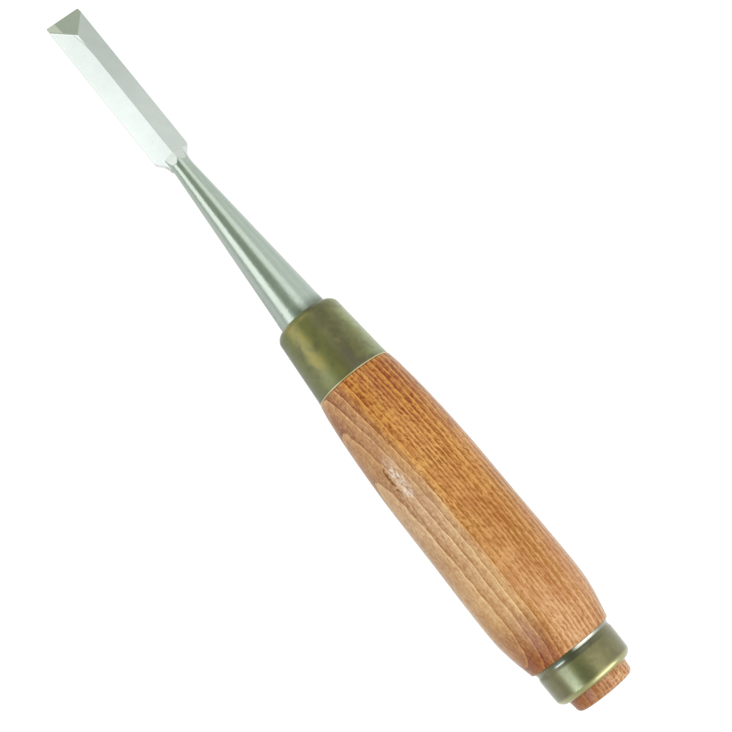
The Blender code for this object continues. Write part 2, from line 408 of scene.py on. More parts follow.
def blade_mesh():
    bm = bmesh.new()
    rings = []
    for x in blade_stations():
        rings.append([bm.verts.new((x * MM, y * MM, z * MM)) for y, z in section(x)])
    n = len(rings[0])
    for a, b in zip(rings, rings[1:]):
        for i in range(n):
            j = (i + 1) % n
            bm.faces.new((a[i], a[j], b[j], b[i]))
    bm.faces.new(rings[-1])
    # tang: a tapered square with broad chamfers that starts in the bolster face
    tang = []
    for x, flat in (
        (NECK_REAR, TANG_ROOT_FLAT),
        (TANG_TIP + 4.0, TANG_TIP_FLAT + (TANG_ROOT_FLAT - TANG_TIP_FLAT) * 0.07),
        (TANG_TIP, TANG_TIP_FLAT * 0.6),
    ):
        h, c = flat / 2, flat / 2 * TANG_CHAMFER
        ring = []
        for y, z in ((-c, h), (-h, c), (-h, -c), (-c, -h), (c, -h), (h, -c), (h, c), (c, h)):
            ring.append(bm.verts.new((x * MM, y * MM, z * MM)))
        tang.append(ring)
    for a, b in zip(tang, tang[1:]):
        for i in range(8):
            j = (i + 1) % 8
            bm.faces.new((a[i], a[j], b[j], b[i]))
    bm.faces.new(tang[-1])
    loop = [bm.edges.get((a, b)) for r in (rings[0], tang[0]) for a, b in zip(r, r[1:] + r[:1])]
    bmesh.ops.bridge_loops(bm, edges=loop)
    bmesh.ops.recalc_face_normals(bm, faces=bm.faces[:])

    # the cutting bevel, its honed strip, and the broken corners and arrises round it
    tip = (OVERALL, 0, BACK_Z)
    slice_off(bm, tip, (math.sin(BEVEL), 0, math.cos(BEVEL)))
    hone = math.radians(33)
    depth = 0.20 * math.sin(hone - BEVEL)
    at = Vector(tip) - Vector((math.sin(hone), 0, math.cos(hone))) * depth * 0.5
    slice_off(bm, at, (math.sin(hone), 0, math.cos(hone)))
    slice_off(bm, (OVERALL - 0.05, 0, 0), (1, 0, 0))
    edge_x = OVERALL - 0.05
    for side in (-1, 1):
        for deg in (20, 45, 70):
            a = math.radians(deg)
            r = 0.55
            at = (edge_x - r + r * math.cos(a), side * (BLADE_W / 2 - r + r * math.sin(a)), 0)
            slice_off(bm, at, (math.cos(a), side * math.sin(a), 0))
        facet = Vector((0, side * FACET_SLOPE, 1)).normalized()
        bevel = Vector((math.sin(BEVEL), 0, math.cos(BEVEL)))
        apex = Vector((OVERALL - BLADE_H / math.tan(BEVEL), 0, RIDGE_Z))
        for share in (0.3, 0.7):
            way = (facet * share + bevel * (1 - share)).normalized()
            slice_off(bm, apex - way * 0.028, way)
    bmesh.ops.dissolve_degenerate(bm, dist=1e-7, edges=bm.edges[:])
    bmesh.ops.remove_doubles(bm, verts=bm.verts[:], dist=2e-7)
    bmesh.ops.recalc_face_normals(bm, faces=bm.faces[:])
    mesh = bpy.data.meshes.new("blade_steel")
    bm.to_mesh(mesh)
    bm.free()
    return mesh


# ---------------------------------------------------------------------------------------
# materials
# ---------------------------------------------------------------------------------------


class Graph:
    """Short-hand for building a node material; a socket links, any other value is set."""

    def __init__(self, name):
        self.mat = bpy.data.materials.new(name)
        self.mat.use_nodes = True
        self.tree = self.mat.node_tree
        self.shader = self.tree.nodes["Principled BSDF"]

    def put(self, socket, value):
        if isinstance(value, bpy.types.NodeSocket):
            self.tree.links.new(value, socket)
        elif value is not None:
            socket.default_value = value

    def node(self, kind, inputs=(), **props):
        n = self.tree.nodes.new(kind)
        for k, v in props.items():
            setattr(n, k, v)
        for k, v in dict(inputs).items():
            self.put(n.inputs[k], v)
        return n

    def surface(self, **inputs):
        for k, v in inputs.items():
            self.put(self.shader.inputs[k.replace("_", " ")], v)

    def math(self, op, a, b=None, c=None, clamp=False):
        n = self.node("ShaderNodeMath", operation=op, use_clamp=clamp)
        for i, v in enumerate((a, b, c)):
            self.put(n.inputs[i], v)
        return n.outputs[0]

    def vmath(self, op, a, b=None, scale=None):
        n = self.node("ShaderNodeVectorMath", operation=op)
        self.put(n.inputs[0], a)
        self.put(n.inputs[1], b)
        if scale is not None:
            self.put(n.inputs["Scale"], scale)
        return n.outputs["Value"] if op in ("DOT_PRODUCT", "LENGTH") else n.outputs[0]

    def dot(self, v, w):
        return self.vmath("DOT_PRODUCT", v, w)

    def join(self, x, y, z):
        return self.node("ShaderNodeCombineXYZ", {0: x, 1: y, 2: z}).outputs[0]

    def noise(self, vec, scale=1.0, detail=2.0, rough=0.5, distortion=0.0):
        n = self.node("ShaderNodeTexNoise", {"Vector": vec, "Scale": scale, "Detail": detail, "Roughness": rough, "Distortion": distortion})
        return n.outputs[0]

    def span(self, value, a, b, c=0.0, d=1.0, kind="LINEAR"):
        n = self.node("ShaderNodeMapRange", {0: value, 1: a, 2: b, 3: c, 4: d}, interpolation_type=kind, clamp=True)
        return n.outputs[0]

    def ramp(self, value, stops, kind="LINEAR"):
        n = self.node("ShaderNodeValToRGB", {0: value})
        r = n.color_ramp
        r.interpolation = kind
        while len(r.elements) < len(stops):
            r.elements.new(0.5)
        for e, (p, col) in zip(r.elements, stops):
            e.position = p
            e.color = (*col, 1.0)
        return n.outputs[0]

    def mix(self, fac, a, b, blend="MIX"):
        n = self.node("ShaderNodeMix", data_type="RGBA", blend_type=blend)
        self.put(n.inputs[0], fac)
        for i, v in ((6, a), (7, b)):
            self.put(n.inputs[i], (*v, 1.0) if isinstance(v, tuple) and len(v) == 3 else v)
        return n.outputs[2]

    def bump(self, height, distance, strength=1.0, normal=None):
        n = self.node("ShaderNodeBump", {"Height": height, "Distance": distance, "Strength": strength})
        if normal is not None:
            self.put(n.inputs["Normal"], normal)
        return n.outputs[0]

    def position(self):
        """Place in the tool's frame, in millimetres, as a vector and its three parts."""
        co = self.node("ShaderNodeTexCoord").outputs["Object"]
        back = REST.inverted().translation / MM
        place = {"Vector": co, "Location": back, "Rotation": (0.0, -TILT, 0.0), "Scale": (1000.0, 1000.0, 1000.0)}
        v = self.node("ShaderNodeMapping", place, vector_type="POINT").outputs[0]
        s = self.node("ShaderNodeSeparateXYZ", {0: v})
        return v, s.outputs[0], s.outputs[1], s.outputs[2]


def steel_material():
    g = Graph("satin_steel")
    v, x, y, z = g.position()
    # the neck is linished lengthwise, the blade is surface-ground across
    radius = g.math("SQRT", g.math("ADD", g.math("MULTIPLY", y, y), g.math("MULTIPLY", z, z)))
    faces = g.math("MAXIMUM", g.span(radius, NECK_FRONT_R - 0.09, NECK_FRONT_R - 0.03, 1.0, 0.0), g.math("MULTIPLY", g.span(g.math("ABSOLUTE", y), NECK_FRONT_R - 0.28, NECK_FRONT_R - 0.20), g.span(x, 199.7, 200.1)))
    on_blade = g.math("MAXIMUM", g.span(x, 203.0, 204.4), g.math("MULTIPLY", g.span(x, 198.6, 198.8), faces))
    lines = g.noise(g.vmath("MULTIPLY", v, (0.16, 5.0, 5.0)), 1.0, 3.0, 0.6)
    fine = g.noise(g.vmath("MULTIPLY", v, (2.2, 7.0, 7.0)), 1.0, 2.0, 0.6)
    cross = g.noise(g.vmath("MULTIPLY", v, (9.0, 0.5, 0.5)), 1.0, 2.0, 0.5)
    cloud = g.noise(v, 0.25, 3.0, 0.55)
    grain = g.math("ADD", g.math("MULTIPLY", lines, 0.6), g.math("MULTIPLY", fine, 0.4))
    grit = g.noise(g.vmath("MULTIPLY", v, (1.5, 2.1, 2.1)), 1.0, 2.0, 0.55)
    worn = g.span(x, 140.0, 158.0, 1.0, 0.0, "SMOOTHSTEP")
    neck_rough = g.math("ADD", g.span(grain, 0.3, 0.7, 0.13, 0.23), g.math("MULTIPLY", worn, g.span(cloud, 0.35, 0.65, 0.0, 0.10)))
    blade_rough = g.span(cross, 0.3, 0.7, 0.10, 0.15)
    rough = g.node("ShaderNodeMix", {0: on_blade, 2: neck_rough, 3: blade_rough}, data_type="FLOAT").outputs[0]
    neck = g.mix(g.span(grain, 0.32, 0.68), (0.485, 0.555, 0.495), (0.595, 0.655, 0.605))
    ground = g.mix(g.span(cloud, 0.3, 0.7), (0.635, 0.668, 0.648), (0.665, 0.695, 0.675))
    # painted reflection: the right side of the facets' run-out at the shoulder is painted lighter
    runout_painted_reflection = g.math("MULTIPLY", g.span(x, 203.8, 203.2, 0.0, 0.9), g.span(y, -0.2, 0.2, 1.0, 0.0))
    ground = g.mix(runout_painted_reflection, ground, (0.80, 0.82, 0.80))
    # the left wall of the shoulder is polished and painted near-white, a painted reflection of the pale floor
    below = g.math("ADD", g.math("MULTIPLY", y, FACET_SLOPE), z)
    wall = g.math("MULTIPLY", g.span(below, RIDGE_Z - 0.25, RIDGE_Z - 0.12, 1.0, 0.0), g.math("MULTIPLY", g.span(y, 2.9, 3.1), g.span(x, 198.0, 199.0)))
    ground = g.mix(wall, ground, (0.97, 0.98, 0.97))
    skin = g.bump(g.node("ShaderNodeMix", {0: on_blade, 2: grain, 3: cross}, data_type="FLOAT").outputs[0], 0.00001, 0.3)
    skin = g.bump(g.math("MULTIPLY", grit, g.math("SUBTRACT", 1.0, on_blade)), 0.00004, 0.7, skin)
    # the arris between the bevel and the left facet is burnished, painted as a near-white highlight; behind the bevel
    # the ridge is worn round, painted as a bright reflection edged by a painted dark line
    rise = g.math("ADD", g.math("MULTIPLY", g.math("SUBTRACT", OVERALL, x), math.tan(BEVEL)), g.math("MULTIPLY", y, FACET_SLOPE))
    inset = g.math("DIVIDE", g.math("SUBTRACT", rise, BLADE_H), math.hypot(math.tan(BEVEL), FACET_SLOPE))
    left = g.math("MULTIPLY", g.span(y, 0.02, 0.08), g.span(inset, 0.0, 0.04))
    arris = g.math("MULTIPLY", g.span(inset, 0.20, 0.36, 1.0, 0.0), left)
    bend = g.math("POWER", g.span(x, 244.0, 252.6), 2.2)
    bend = g.math("ADD", g.math("MULTIPLY", bend, 0.95), 0.10)
    off = g.math("SUBTRACT", y, bend)
    behind = g.math("MULTIPLY", g.span(x, 243.8, 247.0), left)
    ridge_wear_and_reflection = g.math("MULTIPLY", g.span(off, -0.16, -0.08, 1.0, 0.0), behind)
    # painted dark reflection line along the edge of the worn ridge
    line = g.math("MULTIPLY", g.span(g.math("ABSOLUTE", off), 0.07, 0.16, 0.8, 0.0), behind)
    colour = g.mix(on_blade, neck, ground)
    colour = g.mix(line, colour, (0.36, 0.39, 0.37))
    colour = g.mix(ridge_wear_and_reflection, colour, (0.74, 0.76, 0.74))
    colour = g.mix(arris, colour, (0.86, 0.88, 0.86))
    # painted shade on the neck where it meets the ferrule, on its right side
    right = g.math("SUBTRACT", g.math("MULTIPLY", z, 0.17), g.math("MULTIPLY", y, 0.985))
    ferrule_painted_shade = g.math("MULTIPLY", g.span(x, 137.2, 142.2, 0.85, 0.0, "SMOOTHSTEP"), g.span(right, -2.6, 0.6, kind="SMOOTHSTEP"))
    colour = g.mix(ferrule_painted_shade, colour, (0.135, 0.155, 0.110))
    g.surface(Base_Color=colour, Metallic=1.0, Roughness=rough, Normal=skin)
    return g.mat


def brass_base(g):
    """Turning marks and a blotchy patina shared by the ferrule and the hoop."""
    v, x, y, z = g.position()
    turned = g.noise(g.vmath("MULTIPLY", v, (6.0, 0.22, 0.22)), 1.0, 3.0, 0.6)
    broad = g.noise(v, 0.19, 3.0, 0.55, 0.6)
    blot = g.noise(v, 0.55, 4.0, 0.62, 0.3)
    spots = g.noise(v, 2.2, 3.0, 0.6)
    mottled = g.math("ADD", g.math("MULTIPLY", broad, 0.45), g.math("MULTIPLY", blot, 0.35))
    mottled = g.math("ADD", mottled, g.math("MULTIPLY", spots, 0.20))
    return x, y, z, turned, mottled, spots


def ferrule_material():
    g = Graph("darkened_brass")
    x, y, z, turned, mottled, spots = brass_base(g)
    # it is tarnished more on its right side
    right = g.math("SUBTRACT", g.math("MULTIPLY", z, 0.17), g.math("MULTIPLY", y, 0.985))
    patch = g.math("ADD", g.math("DIVIDE", right, 24.0), g.span(mottled, 0.3, 0.7, 0.45, 0.55))
    colour = g.ramp(
        patch,
        [
            (0.05, (0.240, 0.250, 0.095)),
            (0.25, (0.240, 0.256, 0.080)),
            (0.45, (0.262, 0.250, 0.070)),
            (0.54, (0.200, 0.190, 0.050)),
            (0.63, (0.119, 0.107, 0.022)),
            (0.71, (0.138, 0.132, 0.032)),
            (0.80, (0.210, 0.208, 0.068)),
            (0.88, (0.330, 0.346, 0.136)),
            (0.95, (0.440, 0.490, 0.250)),
        ],
    )
    stain = mottled
    tarnish = g.span(mottled, 0.34, 0.66, 0.24, 0.0)
    colour = g.mix(tarnish, colour, (0.050, 0.044, 0.014))
    # golden in a band along the left of the nose, a painted highlight over the patina, and in blotches; brown behind on
    # the right, blotchy all over
    v = g.position()[0]
    blotch = g.noise(g.vmath("MULTIPLY", v, (0.20, 0.20, 0.20)), 1.0, 3.0, 0.62)
    gold = g.math("MULTIPLY", g.span(x, 117.5, 124.0, kind="SMOOTHSTEP"), g.span(g.math("ABSOLUTE", g.math("ADD", right, 5.0)), 1.0, 3.2, 1.0, 0.0, "SMOOTHSTEP"))
    gold = g.math("ADD", g.math("MULTIPLY", gold, g.span(blotch, 0.32, 0.55, 0.15, 0.75)), g.span(blotch, 0.53, 0.72, 0.0, 0.4))
    colour = g.mix(g.math("MINIMUM", gold, 0.8), colour, (0.335, 0.275, 0.058))
    brown = g.math("MULTIPLY", g.span(x, 123.5, 118.5, 0.0, 1.0, "SMOOTHSTEP"), g.span(g.math("ABSOLUTE", g.math("SUBTRACT", right, 2.6)), 1.2, 4.0, 1.0, 0.0, "SMOOTHSTEP"))
    brown = g.math("ADD", g.math("MULTIPLY", brown, 0.45), g.span(blotch, 0.47, 0.30, 0.0, 0.42))
    colour = g.mix(g.math("MINIMUM", brown, 0.7), colour, (0.098, 0.074, 0.032))
    # darker behind the rim, bare on the rim itself
    colour = g.mix(g.span(x, 114.1, 116.2, 0.45, 0.0, "SMOOTHSTEP"), colour, (0.115, 0.118, 0.058))
    colour = g.mix(g.span(x, 114.12, 114.36, 1.0, 0.0), colour, (0.80, 0.70, 0.38))
    rough = g.math("ADD", g.span(stain, 0.35, 0.65, 0.52, 0.42), g.span(turned, 0.3, 0.7, -0.04, 0.04))
    height = g.math("ADD", g.math("MULTIPLY", turned, 0.5), g.math("MULTIPLY", spots, 0.5))
    g.surface(
        Base_Color=colour,
        Metallic=1.0,
        Roughness=rough,
        Normal=g.bump(height, 0.000015, 0.5),
        Coat_Weight=1.0,
        Coat_Roughness=0.30,
        Coat_IOR=1.6,
    )
    return g.mat


def hoop_material():
    g = Graph("worn_brass")
    x, y, z, turned, mottled, spots = brass_base(g)
    colour = g.ramp(
        mottled,
        [
            (0.34, (0.200, 0.178, 0.060)),
            (0.50, (0.265, 0.240, 0.082)),
            (0.66, (0.340, 0.312, 0.108)),
        ],
    )
    # darker down both sides
    right = g.math("SUBTRACT", g.math("MULTIPLY", z, 0.17), g.math("MULTIPLY", y, 0.985))
    edge = g.math("MAXIMUM", g.span(right, -5.5, -9.5, 0.0, 0.40), g.span(right, 6.5, 9.0, 0.0, 0.38))
    colour = g.mix(edge, colour, (0.105, 0.092, 0.036))
    # painted shade in the cove and a painted near-white reflection along the right of the rolled lip; the rear edge is
    # rubbed bright
    cove = g.math("MULTIPLY", g.span(right, 5.0, 9.5, 0.8, 0.15), g.span(right, -9.5, -6.0, 0.0, 1.0))
    cove = g.math("MULTIPLY", g.span(x, 12.5, 13.4, kind="SMOOTHSTEP"), cove)
    colour = g.mix(cove, colour, (0.050, 0.050, 0.022))
    lip_painted_reflection = g.math("MULTIPLY", g.span(right, -0.8, 1.8, kind="SMOOTHSTEP"), g.span(right, 6.5, 9.8, 1.0, 0.30))
    lip_painted_reflection = g.math("MULTIPLY", lip_painted_reflection, g.span(x, 14.4, 14.75, kind="SMOOTHSTEP"))
    colour = g.mix(lip_painted_reflection, colour, (0.80, 0.80, 0.74))
    # a small painted glint in the cove on the left
    cove_painted_glint = g.math("MULTIPLY", g.span(right, -7.2, -6.2), g.span(right, -4.2, -3.4, 1.0, 0.0))
    cove_painted_glint = g.math("MULTIPLY", cove_painted_glint, g.math("MULTIPLY", g.span(x, 13.85, 14.0), g.span(x, 14.2, 14.35, 1.0, 0.0)))
    colour = g.mix(cove_painted_glint, colour, (0.60, 0.68, 0.60))
    colour = g.mix(g.span(x, 6.3, 5.0, 0.0, 0.8, "SMOOTHSTEP"), colour, (0.66, 0.61, 0.30))
    rough = g.math("ADD", g.span(mottled, 0.35, 0.65, 0.37, 0.28), g.span(turned, 0.3, 0.7, -0.03, 0.03))
    height = g.math("ADD", g.math("MULTIPLY", turned, 0.6), g.math("MULTIPLY", spots, 0.4))
    g.surface(
        Base_Color=colour,
        Metallic=1.0,
        Roughness=rough,
        Normal=g.bump(height, 0.000012, 0.5),
        Coat_Weight=1.0,
        Coat_Roughness=0.25,
        Coat_IOR=1.75,
    )
    return g.mat


def wood_material():
    g = Graph("stained_beech")
    v, x, y, z = g.position()
    # growth rings: nearly flat sheets that face the tool's left and sag halfway along the grip
    sheet = g.dot(v, (-0.0203, 0.960, 0.279))
    around = g.dot(v, (0.0, -0.279, 0.960))
    fade = g.span(x, 70, 106, 1.0, 0.0, "SMOOTHSTEP")
    fade = g.math("MAXIMUM", fade, g.span(sheet, 8.2, 5.0, 0.0, 0.85, "SMOOTHSTEP"))
    sag = g.math("MULTIPLY", g.span(x, 24, 60, kind="SMOOTHSTEP"), fade)
    sag = g.math("MULTIPLY", sag, g.span(sheet, 9.0, 14.5, 0.95, 0.45))
    wave = g.noise(g.vmath("MULTIPLY", v, (0.16, 0.25, 0.25)), 1.0, 3.0, 0.6)
    depth = g.math("ADD", g.math("ADD", sheet, sag), g.span(wave, 0.2, 0.8, -0.22, 0.22))
    # where each ring begins: evenly on the left, unevenly to the right
    starts = (-16.6, -14.6, -12.6, -10.6, -8.6, -6.6, -4.6, -2.4, -0.75, 0.6)
    starts += (1.6, 2.95, 3.95, 5.05, 6.55, 8.43, 10.28, 12.14, 14.05, 15.95)
    count = g.ramp(g.span(depth, -17, 17), [((at + 17) / 34, (k / 20, k / 20, k / 20)) for k, at in enumerate(starts)])
    phase = g.math("FRACT", g.math("MULTIPLY", count, 20.0))
    ring = g.ramp(
        phase,
        [
            (0.0, (0.95, 0.95, 0.95)),
            (0.07, (0.86, 0.86, 0.86)),
            (0.16, (0.62, 0.62, 0.62)),
            (0.45, (0.52, 0.52, 0.52)),
            (0.78, (0.40, 0.40, 0.40)),
            (0.95, (0.20, 0.20, 0.20)),
            (0.985, (0.24, 0.24, 0.24)),
            (1.0, (0.95, 0.95, 0.95)),
        ],
    )
    close = g.ramp(
        phase,
        [
            (0.0, (0.84, 0.84, 0.84)),
            (0.06, (0.78, 0.78, 0.78)),
            (0.12, (0.65, 0.65, 0.65)),
            (0.20, (0.53, 0.53, 0.53)),
            (0.35, (0.44, 0.44, 0.44)),
            (0.55, (0.36, 0.36, 0.36)),
            (0.72, (0.31, 0.31, 0.31)),
            (0.82, (0.36, 0.36, 0.36)),
            (0.91, (0.58, 0.58, 0.58)),
            (0.97, (0.76, 0.76, 0.76)),
            (1.0, (0.84, 0.84, 0.84)),
        ],
    )
    edge = g.math("ADD", 6.0, g.math("MULTIPLY", g.span(x, 86, 62, 0.0, 1.7), g.span(x, 26, 42)))
    flank = g.math("DIVIDE", g.math("SUBTRACT", depth, edge), g.math("SUBTRACT", 10.0, edge))
    flank = g.span(flank, 0.0, 1.0, 0.0, 1.0, "SMOOTHSTEP")
    quarter = g.math("SUBTRACT", 1.0, flank)
    ring = g.mix(g.span(depth, 4.0, 6.5), close, ring)

    # rays: slanting flecks where the cut is radial, short dashes where it is tangential
    drift = g.noise(g.vmath("MULTIPLY", v, (0.10, 0.30, 0.30)), 1.0, 2.0, 0.5)
    drift = g.span(drift, 0.2, 0.8, -1.3, 1.3)
    along = g.math("ADD", g.math("MULTIPLY", x, 0.90), g.math("MULTIPLY", depth, 0.44))
    across = g.math("SUBTRACT", g.math("MULTIPLY", depth, 0.90), g.math("MULTIPLY", x, 0.44))
    across = g.math("ADD", across, drift)
    fleck_at = g.join(g.math("MULTIPLY", along, 0.26), g.math("MULTIPLY", across, 1.6), g.math("MULTIPLY", around, 0.9))
    fleck = g.noise(fleck_at, 1.0, 2.0, 0.6)
    dash_at = g.join(g.math("MULTIPLY", x, 0.36), g.math("MULTIPLY", around, 1.5), g.math("MULTIPLY", depth, 1.5))
    dash = g.noise(dash_at, 1.0, 2.0, 0.6)
    layer_at = g.join(g.math("MULTIPLY", x, 0.035), g.math("MULTIPLY", depth, 1.5), g.math("MULTIPLY", around, 0.22))
    layer = g.noise(layer_at, 1.0, 3.0, 0.62)
    speck = g.noise(g.vmath("MULTIPLY", v, (0.95, 1.4, 1.4)), 1.0, 2.0, 0.6)
    fibre = g.noise(g.vmath("MULTIPLY", v, (0.10, 1.5, 1.5)), 1.0, 4.0, 0.65)
    pore = g.noise(g.vmath("MULTIPLY", v, (0.55, 3.6, 3.6)), 1.0, 2.0, 0.6)
    patch = g.noise(g.vmath("MULTIPLY", v, (0.05, 0.16, 0.16)), 1.0, 3.0, 0.55)

    def swing(value, reach):
        return g.math("MULTIPLY", g.math("SUBTRACT", value, 0.5), reach)

    light = g.math("ADD", g.math("MULTIPLY", ring, 0.90), g.span(flank, 0.0, 1.0, 0.03, -0.10))
    light = g.math("ADD", light, g.math("MULTIPLY", swing(fleck, 0.75), quarter))
    light = g.math("ADD", light, g.math("MULTIPLY", swing(layer, 0.5), quarter))
    light = g.math("ADD", light, swing(dash, 0.7))
    light = g.math("ADD", light, swing(speck, 1.0))
    light = g.math("ADD", light, swing(fibre, 0.6))
    light = g.math("ADD", light, swing(patch, 0.6))
    strong = g.math("ADD", g.math("MULTIPLY", g.math("SUBTRACT", light, 0.47), 1.9), 0.5)
    light = g.node("ShaderNodeMix", {0: flank, 2: strong, 3: light}, data_type="FLOAT").outputs[0]
    light = g.math("MAXIMUM", light, 0.0, clamp=True)

    # the stain took darker and redder towards the ferrule, paler and greyer on the left flank
    def tint(*stops):
        return g.ramp(g.span(x, 0, 115), [(at / 115, col) for at, col in stops])

    dark_right = tint(
        (10, (0.35, 0.13, 0.04)),
        (28, (0.41, 0.16, 0.03)),
        (58, (0.32, 0.11, 0.01)),
        (80, (0.30, 0.09, 0.01)),
        (100, (0.23, 0.04, 0.00)),
    )
    light_right = tint(
        (10, (0.67, 0.38, 0.19)),
        (28, (0.65, 0.35, 0.17)),
        (58, (0.61, 0.29, 0.09)),
        (80, (0.67, 0.33, 0.09)),
        (100, (0.58, 0.26, 0.05)),
    )
    dark_left = tint(
        (19, (0.16, 0.02, 0.00)),
        (34, (0.38, 0.16, 0.04)),
        (72, (0.31, 0.13, 0.05)),
        (88, (0.33, 0.14, 0.05)),
        (106, (0.20, 0.05, 0.01)),
    )
    light_left = tint(
        (19, (0.49, 0.19, 0.04)),
        (34, (0.79, 0.52, 0.26)),
        (72, (0.76, 0.51, 0.29)),
        (88, (0.67, 0.39, 0.17)),
        (106, (0.70, 0.39, 0.17)),
    )
    dark = g.mix(flank, dark_right, dark_left)
    pale = g.mix(flank, light_right, light_left)
    tone = g.mix(light, dark, pale)
    # the stub end is darker on its left
    stub = g.math("MULTIPLY", g.span(x, 12.5, 11.0), g.span(depth, -1.0, 7.0, 0.0, 0.55))
    tone = g.mix(stub, tone, (0.245, 0.060, 0.010))
    # curly pale rays on the stub, fewer on its left
    curl = g.noise(g.vmath("MULTIPLY", v, (0.60, 0.28, 0.28)), 1.0, 1.0, 0.5)
    curl = g.span(g.math("ABSOLUTE", g.math("SUBTRACT", curl, 0.5)), 0.005, 0.045, 1.0, 0.0)
    curly = g.math("MULTIPLY", g.span(x, 5.0, 4.0, 0.0, 0.45), g.span(depth, 0.0, 6.0, 1.0, 0.2))
    tone = g.mix(g.math("MULTIPLY", curl, curly), tone, (0.84, 0.56, 0.32))
    # redder patches
    blush = g.noise(g.vmath("MULTIPLY", v, (0.09, 0.22, 0.22)), 1.0, 3.0, 0.6)
    tone = g.mix(g.math("MULTIPLY", g.span(blush, 0.50, 0.72, 0.0, 0.45), quarter), tone, (0.340, 0.088, 0.020))
    # scuffed lacquer with near-white flecks, partly a painted sheen, and a row of open pores on the left of the grip
    scuff = g.math("MULTIPLY", g.span(x, 74, 78, kind="SMOOTHSTEP"), g.span(x, 85, 90.5, 1.0, 0.0, "SMOOTHSTEP"))
    band = g.math("ABSOLUTE", g.math("SUBTRACT", around, 8.5))
    scuff_and_sheen_flecks = g.noise(g.vmath("MULTIPLY", v, (0.75, 1.6, 1.6)), 1.0, 2.0, 0.6)
    scuff_and_sheen_flecks = g.math("MULTIPLY", g.span(scuff_and_sheen_flecks, 0.38, 0.68), g.math("MULTIPLY", scuff, g.span(band, 0.4, 2.1, 0.62, 0.0, "SMOOTHSTEP")))
    scuff_and_sheen_flecks = g.math("MULTIPLY", scuff_and_sheen_flecks, g.span(depth, 8.0, 9.0))
    tone = g.mix(scuff_and_sheen_flecks, tone, (0.90, 0.84, 0.78))
    open_row = g.math("ABSOLUTE", g.math("SUBTRACT", around, 6.2))
    hole = g.noise(g.vmath("MULTIPLY", v, (1.15, 1.3, 1.3)), 1.0, 1.0, 0.5)
    hole = g.math("MULTIPLY", g.span(hole, 0.46, 0.56), g.math("MULTIPLY", scuff, g.span(open_row, 0.35, 0.75, 0.95, 0.0)))
    hole = g.math("MULTIPLY", hole, g.span(depth, 10.0, 11.0))
    tone = g.mix(hole, tone, (0.170, 0.052, 0.006))

    height = g.math("ADD", g.math("MULTIPLY", fibre, 0.4), g.math("MULTIPLY", g.span(pore, 0.35, 0.6), 0.6))
    skin = g.bump(height, 0.00004, 0.5)
    g.surface(
        Base_Color=tone,
        Roughness=g.span(fibre, 0.3, 0.7, 0.55, 0.45),
        Normal=skin,
        Coat_Weight=1.0,
        Coat_Roughness=0.24,
        Coat_IOR=1.42,
        Coat_Normal=skin,
    )
    g.shader.inputs["Specular IOR Level"].default_value = 0.05
    return g.mat


steel = steel_material()
ferrule_brass = ferrule_material()
hoop_brass = hoop_material()
wood = wood_material()

finish_piece("blade_steel", blade_mesh(), steel, "blade", 11)
finish_piece("ferrule_brass", lathe("ferrule_brass", ferrule_profile(), True, 144), ferrule_brass, "front_ferrule", 40)
finish_piece("handle_wood", lathe("handle_wood", handle_profile(), False, 160), wood, "handle", 40)
finish_piece("hoop_brass", lathe("hoop_brass", hoop_profile(), True, 144), hoop_brass, "rear_hoop", 40)

# ---------------------------------------------------------------------------------------
# floor, light and camera
# ---------------------------------------------------------------------------------------


def make_floor():
    mesh = bpy.data.meshes.new("floor")
    s = 12.0
    mesh.from_pydata([(-s, -s, 0), (s, -s, 0), (s, s, 0), (-s, s, 0)], [], [(0, 1, 2, 3)])
    g = Graph("pale_floor")
    v = g.node("ShaderNodeTexCoord").outputs["Object"]
    soft = g.noise(v, 30.0, 3.0, 0.5)
    away = g.vmath("LENGTH", v)
    glow = g.span(away, 0.25, 1.0, 0.92, 0.50, "SMOOTHSTEP")
    g.surface(
        Base_Color=g.mix(g.span(soft, 0.3, 0.7), (0.15, 0.15, 0.15), (0.17, 0.17, 0.17)),
        Roughness=0.9,
        Emission_Color=(1.0, 1.0, 1.0, 1.0),
        Emission_Strength=glow,
    )
    g.shader.inputs["Specular IOR Level"].default_value = 0.0
    mesh.materials.append(g.mat)
    obj = bpy.data.objects.new("floor", mesh)
    obj.location = (0, 0, -0.0001)
    obj.visible_glossy = False
    bpy.context.scene.collection.objects.link(obj)


def soft_light(name, place, aim, size_x, size_y, radiance, colour=(1, 1, 1), glossy=True, along=(1, 0, 0)):
    light = bpy.data.lights.new(name, "AREA")
    light.shape = "RECTANGLE"
    light.size, light.size_y = size_x, size_y
    light.energy = radiance * math.pi * size_x * size_y
    light.color = colour
    obj = bpy.data.objects.new(name, light)
    bpy.context.scene.collection.objects.link(obj)
    place, aim = Vector(place), Vector(aim)
    back = (place - aim).normalized()
    along = Vector(along)
    along = (along - back * back.dot(along)).normalized()
    up = back.cross(along)
    obj.matrix_world = Matrix.Translation(place) @ Matrix((along, up, back)).transposed().to_4x4()
    obj.visible_glossy = glossy
    return obj


def around_axis(degrees, distance, x=0.0):
    """A place at an angle from straight up, positive towards the tool's left (+y)."""
    a = math.radians(degrees)
    return (x, distance * math.sin(a), distance * math.cos(a))


